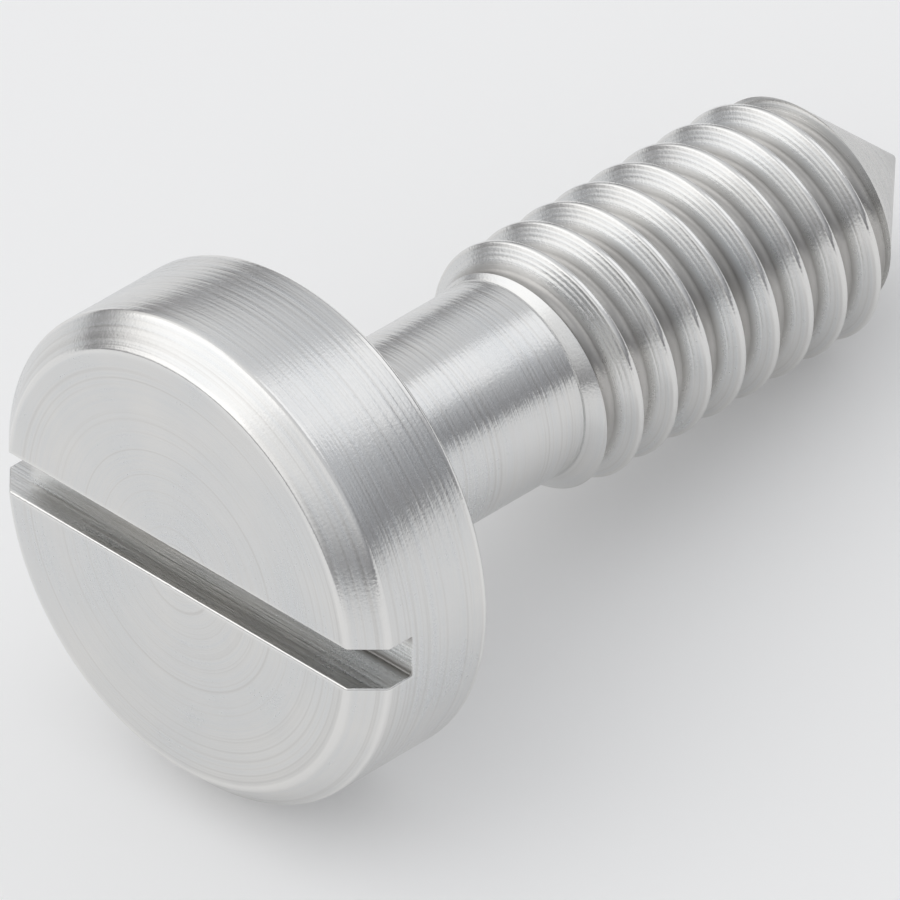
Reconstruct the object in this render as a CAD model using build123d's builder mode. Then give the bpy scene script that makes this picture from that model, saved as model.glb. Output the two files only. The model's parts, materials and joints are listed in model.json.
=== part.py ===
from build123d import *
from math import atan2, ceil, cos, radians, sin, sqrt, tan
import os

# Slotted collar screw: one piece of steel, turned from bar, with its slot sawn and its thread
# cut afterwards. All sizes are in millimetres, and lengths run along the screw from the front
# of its head.

# Head: a low cylinder, flat in front, whose slot runs right across it.
head_diameter = 5.0
head_height = 1.57
front_chamfer = 0.28
rim_break = 0.05
slot_width = 0.43
slot_depth = 0.57

# Neck: slimmer than the core of the thread, so that a tapped sleeve holds the screw captive.
neck_diameter = 2.0
neck_length = 2.74
neck_fillet = 0.1

# Thread: M2.5 coarse, right-hand. Its length takes in the bevel that leads up from the neck.
thread_diameter = 2.5
thread_pitch = 0.45
thread_length = 3.8
thread_bevel_angle = 45

# Point: a cone, given by the angle between its sides, with its tip just blunted.
point_angle = 85
tip_radius = 0.05

head_radius = head_diameter / 2
neck_radius = neck_diameter / 2
thread_radius = thread_diameter / 2

# Where each stretch begins and ends.
rim_end = head_height - rim_break
thread_start = head_height + neck_length
thread_end = thread_start + thread_length

# The tip is a small ball that the cone meets without an edge.
cone_normal = point_angle / 2
cone_slope = radians(cone_normal)
tip_centre = thread_end + thread_radius / tan(cone_slope) - tip_radius / sin(cone_slope)
cone_end = (tip_radius * cos(cone_slope), tip_centre + tip_radius * sin(cone_slope))
overall_length = tip_centre + tip_radius
tip = (0, overall_length)

# Basic profile of a metric thread: a 60 degree V, cut flat at its crest and at its root.
sharp_height = thread_pitch * sqrt(3) / 2
thread_depth = sharp_height * 5 / 8
crest_flat = thread_pitch / 8
root_flat = thread_pitch / 4
root_radius = thread_radius - thread_depth
flank_slope = tan(radians(60 / 2))

# The bevel and the cone are turned from clear of the crests.
turned_radius = thread_radius + thread_depth
bevel_top = thread_start + (turned_radius - neck_radius) / tan(radians(thread_bevel_angle))
cone_bottom = thread_end - (turned_radius - thread_radius) / tan(cone_slope)

# The cutter reaches past the crests by less than would make its own turns meet.
cutter_depth = thread_depth + crest_flat / 2
cutter_mouth = root_flat + 2 * cutter_depth * flank_slope

# The cutter starts below the thread and stops beyond it. It is timed so that, on the side that
# the screw lies on, a crest ends just where the cone begins.
turns_on_thread = ceil(thread_length / thread_pitch)
turns_beyond = 2
groove_turns = turns_on_thread + turns_beyond
timing = 13 / 16
groove_start = thread_end - thread_pitch * (turns_on_thread + timing)

# The threaded end: a rod longer than the thread, the groove, then the bevel and the cone that
# are turned on its ends.
with BuildPart() as threaded_end:
    with BuildSketch(Plane.XY.offset(groove_start - thread_pitch)):
        Circle(thread_radius)
    extrude(amount=overall_length - groove_start + 2 * thread_pitch)

    with BuildLine():
        root_line = Helix(
            pitch=thread_pitch,
            height=groove_turns * thread_pitch,
            radius=root_radius,
            center=(0, 0, groove_start),
        )
    with BuildSketch(Plane(origin=root_line @ 0, x_dir=(1, 0, 0), z_dir=root_line % 0)):
        with BuildLine():
            Polyline(
                (0, -root_flat / 2),
                (cutter_depth, -cutter_mouth / 2),
                (cutter_depth, cutter_mouth / 2),
                (0, root_flat / 2),
                close=True,
            )
        make_face()
    sweep(path=root_line, is_frenet=True, mode=Mode.SUBTRACT)

    with BuildSketch(Plane.XZ):
        with BuildLine():
            Polyline(
                tip,
                (0, thread_start),
                (neck_radius, thread_start),
                (turned_radius, bevel_top),
                (turned_radius, cone_bottom),
                cone_end,
            )
            CenterArc((0, tip_centre), tip_radius, cone_normal, 90 - cone_normal)
        make_face()
    revolve(axis=Axis.Z, mode=Mode.INTERSECT)

# The head and the neck, standing on the front of the head, with the slot along X.
with BuildPart() as screw:
    with BuildSketch(Plane.XZ):
        with BuildLine():
            Polyline(
                (0, 0),
                (head_radius - front_chamfer, 0),
                (head_radius, front_chamfer),
                (head_radius, rim_end),
                (head_radius - rim_break, head_height),
                (neck_radius, head_height),
                (neck_radius, thread_start),
                (0, thread_start),
                close=True,
            )
        make_face()
    revolve(axis=Axis.Z)
    under_head = screw.edges().filter_by(GeomType.CIRCLE).filter_by_position(
        Axis.Z, head_height - rim_break / 2, head_height + rim_break / 2
    )
    fillet(under_head.sort_by(SortBy.RADIUS)[0], neck_fillet)

    with BuildSketch(Plane.XY):
        Rectangle(2 * head_diameter, slot_width)
    extrude(amount=slot_depth, mode=Mode.SUBTRACT)

    add(threaded_end.part)

# The screw lies on the back of its head's rim and on the last crest of its thread, so its axis
# dips towards the point. The slot is level.
dip = atan2(head_radius - thread_radius, thread_end - rim_end)
axis_height = head_radius * cos(dip) + rim_end * sin(dip)

# The origin is on the floor, midway between the foot of the head's face and the tip.
face_foot = (head_radius - front_chamfer) * sin(dip)
tip_reach = tip_centre * cos(dip) + tip_radius
lying = Plane(
    origin=(0, (face_foot - tip_reach) / 2, axis_height),
    x_dir=(1, 0, 0),
    z_dir=(0, cos(dip), -sin(dip)),
)

with BuildPart() as collar_screw:
    with Locations(lying):
        add(screw.part)

collar_screw.part.label = "collar_screw"
os.makedirs("parts", exist_ok=True)
export_step(collar_screw.part, "parts/collar_screw.step")
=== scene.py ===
import json
from math import asin, ceil, cos, pi, radians, sin, sqrt, tan

import bpy
from mathutils import Matrix, Vector


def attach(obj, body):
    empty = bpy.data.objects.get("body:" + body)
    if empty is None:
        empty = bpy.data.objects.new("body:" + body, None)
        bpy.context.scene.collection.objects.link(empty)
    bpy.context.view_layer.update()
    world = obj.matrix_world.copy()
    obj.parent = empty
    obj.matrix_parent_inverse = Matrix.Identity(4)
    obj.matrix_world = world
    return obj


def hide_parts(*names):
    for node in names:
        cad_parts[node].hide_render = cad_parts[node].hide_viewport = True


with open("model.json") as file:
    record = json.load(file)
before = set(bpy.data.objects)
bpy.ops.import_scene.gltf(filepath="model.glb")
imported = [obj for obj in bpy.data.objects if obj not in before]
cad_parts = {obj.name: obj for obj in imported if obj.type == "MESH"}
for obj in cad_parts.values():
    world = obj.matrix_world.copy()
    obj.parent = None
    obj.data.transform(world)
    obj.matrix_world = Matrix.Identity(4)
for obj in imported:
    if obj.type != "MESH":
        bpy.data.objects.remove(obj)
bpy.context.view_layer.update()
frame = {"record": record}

# The camera looks down on the head at an equal angle to the screw's axis, to its slot and to
# the upright across them, as in the drawing. A very long lens keeps the drawing's parallel
# lines parallel, and the picture is turned so that the axis climbs to the right as it does there.
MM = 0.001
mounts = {mount["name"]: mount for mount in frame["record"]["mounts"]}
axis = Vector(mounts["neck"]["axis"]).normalized()
slot_line = Vector((1, 0, 0))
upright = slot_line.cross(axis)
slot_floor = Vector(mounts["driver_slot"]["pos_m"])

# The middle of the picture is given along the axis, from the slot's floor, and across it.
centre_along = 2.77 * MM
centre_across = 0.297 * MM
axis_climb = radians(30)
drawn_width = 8.33 * MM
sensor = 36
lens = 1000

toward_camera = (slot_line - axis + upright).normalized()
picture_right = upright.cross(toward_camera).normalized()
picture_up = toward_camera.cross(picture_right)
across = picture_right * sin(axis_climb) - picture_up * cos(axis_climb)
drawn_centre = slot_floor + axis * centre_along + across * centre_across

bpy.ops.object.camera_add()
camera = bpy.context.object
camera.data.sensor_width = sensor
camera.data.lens = lens
camera.data.clip_start = 0.01
camera.data.clip_end = 2.0
turn = Matrix((picture_right, picture_up, toward_camera)).transposed()
camera.rotation_euler = turn.to_euler()
camera.location = drawn_centre + toward_camera * drawn_width * lens / sensor
bpy.context.scene.camera = camera


# The blank of the screw: head and neck, turned from steel bar. It is modelled in millimetres,
# standing on the front of its head, and laid down when it is whole.
head_radius = 2.5
head_height = 1.57
front_chamfer = 0.28
rim_break = 0.05
neck_radius = 1.0
neck_length = 2.74
neck_fillet = 0.1
fillet_steps = 6
segments = 144

rim_end = head_height - rim_break
thread_start = head_height + neck_length

# The blank and the threaded end meet on the neck. Both are made longer, and trimmed there.
joint_below_thread = 0.4
joint_height = thread_start - joint_below_thread
overrun = 0.1


def arc(centre, radius, start, end, steps):
    """Stations, each a radius and a height, on an arc between two angles in degrees."""
    angles = [radians(start + (end - start) * i / steps) for i in range(steps + 1)]
    return [(centre[0] + radius * cos(a), centre[1] + radius * sin(a)) for a in angles]


def turned(name, stations):
    """A round solid: a disc extruded and resized from one station to the next.

    It stands half a segment round from the thread, so that their edges don't meet.
    """
    (radius, height), *others = stations
    bpy.ops.object.select_all(action="DESELECT")
    bpy.ops.mesh.primitive_circle_add(
        vertices=segments,
        radius=radius,
        fill_type="NGON",
        location=(0, 0, height),
        rotation=(0, 0, pi / segments),
    )
    solid = bpy.context.object
    solid.name = name
    bpy.ops.object.transform_apply(location=True, rotation=True, scale=True)
    bpy.ops.object.mode_set(mode="EDIT")
    bpy.ops.mesh.select_all(action="SELECT")
    for next_radius, next_height in others:
        rise = (0, 0, next_height - height)
        bpy.ops.mesh.extrude_region_move(TRANSFORM_OT_translate={"value": rise})
        scale = next_radius / radius
        bpy.ops.transform.resize(value=(scale, scale, 1), center_override=(0, 0, next_height))
        radius, height = next_radius, next_height
    bpy.ops.mesh.select_all(action="SELECT")
    bpy.ops.mesh.normals_make_consistent(inside=False)
    bpy.ops.object.mode_set(mode="OBJECT")
    return solid


under_head = arc(
    (neck_radius + neck_fillet, head_height + neck_fillet), neck_fillet, 270, 180, fillet_steps
)
screw = turned(
    "screw",
    [
        (head_radius - front_chamfer, 0),
        (head_radius, front_chamfer),
        (head_radius, rim_end),
        (head_radius - rim_break, head_height),
        *under_head,
        (neck_radius, joint_height + overrun),
    ],
)

# The driver slot, sawn straight across the head. The plating and the tumbling of the screws
# leave every edge of the head and of the slot a little round.
slot_width = 0.43
slot_depth = 0.57
edge_round = 0.02
edge_steps = 3
sharp_edge = radians(30)
weld = 1e-4
sorting_place = (1.7, 3.1, -5.3)


def pick(*solids):
    """Selects just these solids, and makes the last of them active."""
    bpy.ops.object.select_all(action="DESELECT")
    for solid in solids:
        solid.select_set(True)
    bpy.context.view_layer.objects.active = solids[-1]


def select_vertices(solid, wanted):
    """In edit mode, selects just the vertices whose place passes the test."""
    pick(solid)
    bpy.ops.object.mode_set(mode="EDIT")
    bpy.ops.mesh.select_mode(type="VERT")
    bpy.ops.mesh.select_all(action="DESELECT")
    bpy.ops.object.mode_set(mode="OBJECT")
    for vertex in solid.data.vertices:
        vertex.select = wanted(vertex.co)
    bpy.ops.object.mode_set(mode="EDIT")


def everywhere(place):
    return True


def apply_modifier(solid, kind, **settings):
    """Adds a modifier to the solid, sets it and applies it."""
    pick(solid)
    bpy.ops.object.modifier_add(type=kind)
    modifier = solid.modifiers[-1]
    for setting, value in settings.items():
        setattr(modifier, setting, value)
    bpy.ops.object.modifier_apply(modifier=modifier.name)


def cut(solid, tool, operation):
    """Cuts the solid with a tool, which is then thrown away.

    A cut leaves its vertices in another order on each run, so they are sorted by their
    distance from a place that no two of them are equally far from.
    """
    apply_modifier(solid, "BOOLEAN", operation=operation, solver="EXACT", object=tool)
    bpy.data.objects.remove(tool, do_unlink=True)
    bpy.context.scene.cursor.location = sorting_place
    select_vertices(solid, everywhere)
    bpy.ops.mesh.sort_elements(type="CURSOR_DISTANCE", elements={"VERT", "EDGE", "FACE"})
    bpy.ops.object.mode_set(mode="OBJECT")


def divide(solid, point, normal, wanted=everywhere, **clearing):
    """Divides the faces that a plane crosses, and clears one side of it if asked."""
    select_vertices(solid, wanted)
    bpy.ops.mesh.bisect(plane_co=point, plane_no=normal, **clearing)
    bpy.ops.mesh.select_all(action="SELECT")
    bpy.ops.mesh.normals_make_consistent(inside=False)
    bpy.ops.object.mode_set(mode="OBJECT")


# The saw is a block centred on the face. It is longer than the head is wide.
bpy.ops.object.select_all(action="DESELECT")
bpy.ops.mesh.primitive_cube_add(size=1, location=(0, 0, 0))
saw = bpy.context.object
saw.scale = (4 * head_radius, slot_width, 2 * slot_depth)
bpy.ops.object.transform_apply(location=True, rotation=True, scale=True)
cut(screw, saw, "DIFFERENCE")

# Lines just outside the slot keep the shading of its rounded edges close to them.
line_past_round = 0.025
line_distance = edge_round + line_past_round
divide(screw, (0, 0, slot_depth + line_distance), (0, 0, 1))
for side in (1, -1):
    divide(
        screw,
        (0, side * (slot_width / 2 + line_distance), 0),
        (0, 1, 0),
        wanted=lambda place: place.z < slot_depth + line_distance + weld,
    )
apply_modifier(
    screw,
    "BEVEL",
    width=edge_round,
    segments=edge_steps,
    limit_method="ANGLE",
    angle_limit=sharp_edge,
    use_clamp_overlap=False,
)

# The threaded end, cut with a 60 degree V whose root and crests are a little round, then
# turned to a bevel at the neck and to a cone at the point.
thread_radius = 1.25
thread_pitch = 0.45
thread_length = 3.8
thread_angle = 60
crest_round = 0.016
root_round = 0.036
round_steps = 4
point_angle = 85
tip_radius = 0.05
tip_steps = 8
tip_end_angle = 85

thread_end = thread_start + thread_length
sharp_height = thread_pitch * sqrt(3) / 2
thread_depth = sharp_height * 5 / 8
root_radius = thread_radius - thread_depth

# From the middle of a crest: where its flat, an eighth of the pitch, ends, and the root begins.
crest_edge = thread_pitch / 8 / 2
root_edge = crest_edge + thread_depth * tan(radians(thread_angle / 2))

# The bevel and the cone are turned from clear of the crests. The tip's ball ends in a tiny flat.
turned_radius = thread_radius + thread_depth
bevel_top = thread_start + turned_radius - neck_radius
cone_slope = radians(point_angle / 2)
cone_bottom = thread_end - (turned_radius - thread_radius) / tan(cone_slope)
tip_centre = thread_end + thread_radius / tan(cone_slope) - tip_radius / sin(cone_slope)
tip = tip_centre + tip_radius

# The thread is made longer at both ends, and trimmed there. It is timed so that, on the side
# that the screw lies on, a crest ends just where the cone begins.
turns_below = ceil((thread_end - joint_height) / thread_pitch) + 1
turns_above = ceil((tip - thread_end) / thread_pitch) + 1
timing = 5 / 16
first_crest = thread_end - (turns_below + timing) * thread_pitch


def line_through(name, points):
    """A line through points (radius, height), drawn by extruding one vertex along it."""
    places = [Vector((radius, 0, height)) for radius, height in points]
    bpy.ops.object.select_all(action="DESELECT")
    bpy.ops.mesh.primitive_plane_add(size=1, location=(0, 0, 0))
    line = bpy.context.object
    line.name = name
    bpy.ops.object.mode_set(mode="EDIT")
    bpy.ops.mesh.select_all(action="SELECT")
    bpy.ops.mesh.merge(type="CENTER")
    bpy.ops.transform.translate(value=places[0])
    for here, there in zip(places, places[1:]):
        bpy.ops.mesh.extrude_region_move(TRANSFORM_OT_translate={"value": there - here})
    bpy.ops.object.mode_set(mode="OBJECT")
    return line


# One turn of the thread, from the middle of a crest to the middle of the next.
thread = line_through(
    "thread",
    [
        (thread_radius, 0),
        (thread_radius, crest_edge),
        (root_radius, root_edge),
        (root_radius, thread_pitch - root_edge),
        (thread_radius, thread_pitch - crest_edge),
        (thread_radius, thread_pitch),
    ],
)
for corner_radius, corner_round in ((thread_radius, crest_round), (root_radius, root_round)):
    select_vertices(
        thread,
        lambda place: abs(place.x - corner_radius) < weld and weld < place.z < thread_pitch - weld,
    )
    bpy.ops.mesh.bevel(
        offset=corner_round, offset_type="OFFSET", segments=round_steps, affect="VERTICES"
    )
    bpy.ops.object.mode_set(mode="OBJECT")
select_vertices(thread, everywhere)
bpy.ops.transform.translate(value=(0, 0, first_crest))
bpy.ops.object.mode_set(mode="OBJECT")
apply_modifier(
    thread,
    "SCREW",
    screw_offset=thread_pitch,
    iterations=turns_below + turns_above,
    steps=segments,
    render_steps=segments,
)

# Its turns are welded into one skin, and trimmed and closed at both ends.
select_vertices(thread, everywhere)
bpy.ops.mesh.remove_doubles(threshold=weld)
bpy.ops.object.mode_set(mode="OBJECT")
divide(thread, (0, 0, joint_height - thread_pitch), (0, 0, 1), clear_inner=True, use_fill=True)
divide(thread, (0, 0, tip + thread_pitch / 2), (0, 0, 1), clear_outer=True, use_fill=True)

threaded_end = turned(
    "threaded_end",
    [
        (neck_radius, joint_height - overrun),
        (neck_radius, thread_start),
        (turned_radius, bevel_top),
        (turned_radius, cone_bottom),
        *arc((0, tip_centre), tip_radius, point_angle / 2, tip_end_angle, tip_steps),
    ],
)
cut(threaded_end, thread, "INTERSECT")

# The two halves are trimmed to one ring of the neck and welded there.
joint_weld = 4 * weld
divide(screw, (0, 0, joint_height), (0, 0, 1), clear_outer=True)
divide(threaded_end, (0, 0, joint_height), (0, 0, 1), clear_inner=True)
pick(threaded_end, screw)
bpy.ops.object.join()
select_vertices(screw, everywhere)
bpy.ops.mesh.remove_doubles(threshold=joint_weld)
bpy.ops.object.mode_set(mode="OBJECT")

# Laid down as it comes to rest, on the back of its head's rim and the last crest of its thread.
crease = radians(32)
front_of_head = slot_floor - axis * slot_depth * MM
dip = asin(-axis.z)
lying = (-pi / 2 - dip, 0, 0)
screw.location, screw.rotation_euler, screw.scale = front_of_head, lying, (MM, MM, MM)
pick(screw)
bpy.ops.object.transform_apply(location=True, rotation=True, scale=True)
bpy.ops.object.shade_smooth_by_angle(angle=crease)
apply_modifier(screw, "WEIGHTED_NORMAL", keep_sharp=True)


# The finish: bright nickel plating, thin enough to show the marks that the lathe, the saw and
# the die left. It is burnished on the edges; the corners are duller and painted darker as shade.
class Wire:
    """A socket of a node tree. Arithmetic on wires adds Math nodes to the tree."""

    tree = None

    def __init__(self, socket):
        self.socket = socket

    @classmethod
    def of(cls, kind, settings=(), values=(), out=0):
        """A new node: its settings first, then the values or wires of its sockets."""
        node = cls.tree.nodes.new("ShaderNode" + kind)
        for setting, value in dict(settings).items():
            setattr(node, setting, value)
        for name, value in dict(values).items():
            if isinstance(value, Wire):
                cls.tree.links.new(value.socket, node.inputs[name])
            else:
                node.inputs[name].default_value = value
        return cls(node.outputs[out]) if node.outputs else None

    def math(self, operation, *terms):
        return self.of("Math", {"operation": operation}, enumerate((self, *terms)))

    def __add__(self, other):
        return self.math("ADD", other)

    def __sub__(self, other):
        return self.math("SUBTRACT", other)

    def __rsub__(self, other):
        return self * -1 + other

    def __mul__(self, other):
        return self.math("MULTIPLY", other)

    def __abs__(self):
        return self.math("ABSOLUTE")

    __radd__ = __add__
    __rmul__ = __mul__

    def fade(self, none, full):
        """0 at one value of this wire, 1 at another, and smooth between them."""
        settings = {"interpolation_type": "SMOOTHSTEP"}
        values = {"Value": self, "From Min": none, "From Max": full}
        return self.of("MapRange", settings, values)


def clear_nodes(owner):
    """Empties the node tree of a material or the world, to which wires are then added."""
    owner.use_nodes = True
    owner.node_tree.nodes.clear()
    Wire.tree = owner.node_tree


def parts_of(place):
    """The x, y and z of a vector."""
    return [Wire.of("SeparateXYZ", values={"Vector": place}, out=i) for i in range(3)]


def vector(x, y, z):
    return Wire.of("CombineXYZ", values={"X": x, "Y": y, "Z": z})


def noise(place, scale=1, detail=2):
    """Cloudy noise about 0, with as many lumps to the unit of its place as its scale."""
    return Wire.of("TexNoise", values={"Vector": place, "Scale": scale, "Detail": detail}) - 0.5


def gap(across, along):
    """The distance from a corner, from the distances in two directions."""
    return (across * across + along * along).math("SQRT")


def mixed(first, second, share):
    """A colour between two others: sockets 6 and 7 of the Mix node, and its output 2."""
    return Wire.of("Mix", {"data_type": "RGBA"}, {0: share, 6: first, 7: second}, out=2)


plating_colour = (0.77, 0.76, 0.74, 1)
cool_colour = (0.70, 0.71, 0.715, 1)
burnished_colour = (0.86, 0.85, 0.83, 1)
groove_colour = (0.56, 0.555, 0.545, 1)
# Painted shade for the roots of the thread and the corners, and the darker colour of the point.
dull_and_shade_colour = (0.33, 0.315, 0.295, 1)
plating_roughness = 0.24
relief_depth = 0.0045
rings_per_mm = 24
saw_lines_per_mm = 26
clouds_per_mm = 0.9
grains_per_mm = 34

nickel = bpy.data.materials.new("bright_nickel_plating")
clear_nodes(nickel)

# Millimetres from the front of the head, with z along the screw and x along the slot.
place = Wire.of(
    "Mapping",
    {"vector_type": "TEXTURE"},
    {
        "Vector": Wire.of("TexCoord", out="Object"),
        "Location": front_of_head,
        "Rotation": lying,
        "Scale": (MM, MM, MM),
    },
)
x, y, z = parts_of(place)
radius = gap(x, y)
from_wall = abs(y) - slot_width / 2
between_walls = from_wall.fade(none=0.006, full=0.002)
in_slot = between_walls * z.fade(none=slot_depth + 0.012, full=slot_depth + 0.004)
on_thread = z.fade(none=thread_start - 0.01, full=thread_start + 0.01)
on_point = z.fade(none=thread_end, full=thread_end + 0.06)

# The lathe leaves rings, the deepest on the point, and the die leaves them on the flanks of the
# thread. They change slowly round the screw. The saw leaves lines along the slot.
change_round = x * 0.16 + y * 0.1
change_along = x * 0.9
height_off_thread = z * (1 - on_thread)
rings = noise(vector(radius * rings_per_mm, height_off_thread * rings_per_mm, change_round))
saw_lines = noise(vector(change_along, y * saw_lines_per_mm, z * saw_lines_per_mm))
marks = rings * (1 - in_slot + on_point) + saw_lines * in_slot
clouds = noise(place, clouds_per_mm, detail=3)
grain = noise(place, grains_per_mm, detail=1)

# Worn bright are the edges of the head and of the slot, and the crests of the thread.
nearest_edge = gap(from_wall, z)
for edge_radius, edge_height in (
    (head_radius - front_chamfer, 0),
    (head_radius, front_chamfer),
    (head_radius, rim_end),
):
    nearest_edge = nearest_edge.math("MINIMUM", gap(radius - edge_radius, z - edge_height))
worn_edges = (nearest_edge + clouds * 0.06).fade(none=0.065, full=0.015)
crests = radius.fade(none=thread_radius - 0.05, full=thread_radius - 0.01) * on_thread
worn = worn_edges.math("MAXIMUM", crests * 0.8)

# The point is duller and darker. The roots of the thread and the corners under the head and in
# the slot get painted shade: a darker colour, and a rougher surface.
root_shade = (
    radius.fade(none=root_radius + 0.12, full=root_radius + 0.02)
    * z.fade(none=thread_start + 0.1, full=thread_start + 0.16)
    * z.fade(none=thread_end + 0.25, full=thread_end + 0.15)
)
head_corner_shade = gap(radius - neck_radius, z - head_height).fade(none=0.2, full=0.05)
slot_corner_shade = gap(from_wall, z - slot_depth).fade(none=0.12, full=0.01) * in_slot
dull_and_painted_shade = on_point * 0.55
for shaded_place in (root_shade, head_corner_shade, slot_corner_shade):
    dull_and_painted_shade = dull_and_painted_shade.math("MAXIMUM", shaded_place)
dull_and_painted_shade = dull_and_painted_shade * (clouds + 0.75)

grooves = marks.fade(none=0.0, full=-0.22)
colour = mixed(plating_colour, cool_colour, clouds * 2.0 + marks * 1.6 + 0.5)
colour = mixed(colour, groove_colour, grooves * 0.5)
# Painted shade: the roots of the thread and the corners are darkened, and the point is darker too.
colour = mixed(colour, dull_and_shade_colour, dull_and_painted_shade * 0.85)
colour = mixed(colour, burnished_colour, worn * 0.6)
roughness = clouds * 0.16 + marks * 0.12 + grain * 0.1 + dull_and_painted_shade * 0.14 - worn * 0.06
relief = Wire.of("Bump", values={"Height": marks + grain * 0.25, "Distance": relief_depth * MM})
nickel_shader = Wire.of(
    "BsdfPrincipled",
    values={
        "Base Color": colour,
        "Metallic": 1,
        "Roughness": roughness + plating_roughness,
        "Normal": relief,
    },
)
Wire.of("OutputMaterial", values={"Surface": nickel_shader})
screw.data.materials.clear()
screw.data.materials.append(nickel)

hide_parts("collar_screw")
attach(screw, "root")

# The studio: a plain pale floor, two soft boxes and a soft pale sky. The floor is lifted a
# little towards white where it is seen, straight or in the metal, and it keeps the shadow.
floor_size = 4
floor_colour = (0.94, 0.94, 0.94, 1)
floor_roughness = 0.9
floor_lift = 0.15
bpy.ops.object.select_all(action="DESELECT")
bpy.ops.mesh.primitive_plane_add(size=floor_size, location=(0, 0, 0))
floor = bpy.context.object
floor.name = "floor"
paper = bpy.data.materials.new("pale_paper")
clear_nodes(paper)
paper_shader = Wire.of(
    "BsdfPrincipled", values={"Base Color": floor_colour, "Roughness": floor_roughness}
)
white_shader = Wire.of("Emission", values={"Strength": 1})
seen = Wire.of("LightPath", out="Is Camera Ray")
for mirrored in ("Is Glossy Ray", "Is Transmission Ray"):
    seen = seen.math("MAXIMUM", Wire.of("LightPath", out=mirrored))
lifted = {0: seen * floor_lift, 1: paper_shader, 2: white_shader}
lifted_shader = Wire.of("MixShader", values=lifted)
Wire.of("OutputMaterial", values={"Surface": lifted_shader})
floor.data.materials.append(paper)


def soft_box(name, azimuth, elevation, distance, size, radiance):
    """A square lamp that faces the screw. Azimuth 0 stands before the head, 90 at its right."""
    turn, climb = radians(azimuth), radians(elevation)
    outward = Vector((sin(turn) * cos(climb), -cos(turn) * cos(climb), sin(climb)))
    bpy.ops.object.light_add(type="AREA", location=outward * distance)
    lamp = bpy.context.object
    lamp.name = name
    lamp.rotation_euler = outward.to_track_quat("Z", "Y").to_euler()
    lamp.data.size = size
    lamp.data.energy = radiance * pi * size**2


front_azimuth = -50
soft_box("front_box", front_azimuth, elevation=48, distance=0.6, size=0.7, radiance=0.28)
soft_box("back_box", azimuth=165, elevation=42, distance=0.6, size=0.35, radiance=0.5)

# The sky is brighter on the side of the front box. Round the floor runs a low pale wall, with a
# dark gap above it, which draws the edges of the metal.
bright_side = (1.0, 1.0, 1.0, 1)
shaded_side = (0.56, 0.57, 0.59, 1)
dark_gap = (0.15, 0.15, 0.16, 1)
low_wall = (0.79, 0.80, 0.81, 1)
sky_strength = 1.07

sky = bpy.data.worlds.new("studio_sky")
bpy.context.scene.world = sky
clear_nodes(sky)
east, north, height = parts_of(Wire.of("TexCoord", out="Generated"))
toward_front_box = east * sin(radians(front_azimuth)) - north * cos(radians(front_azimuth))
sky_colour = mixed(shaded_side, bright_side, toward_front_box.fade(none=-0.8, full=0.8))
sky_colour = mixed(dark_gap, sky_colour, height.fade(none=0.0, full=0.62))
sky_colour = mixed(sky_colour, low_wall, height.fade(none=0.07, full=0.03))
sky_shader = Wire.of("Background", values={"Color": sky_colour, "Strength": sky_strength})
Wire.of("OutputWorld", values={"Surface": sky_shader})

bpy.context.scene.view_settings.view_transform = "Standard"
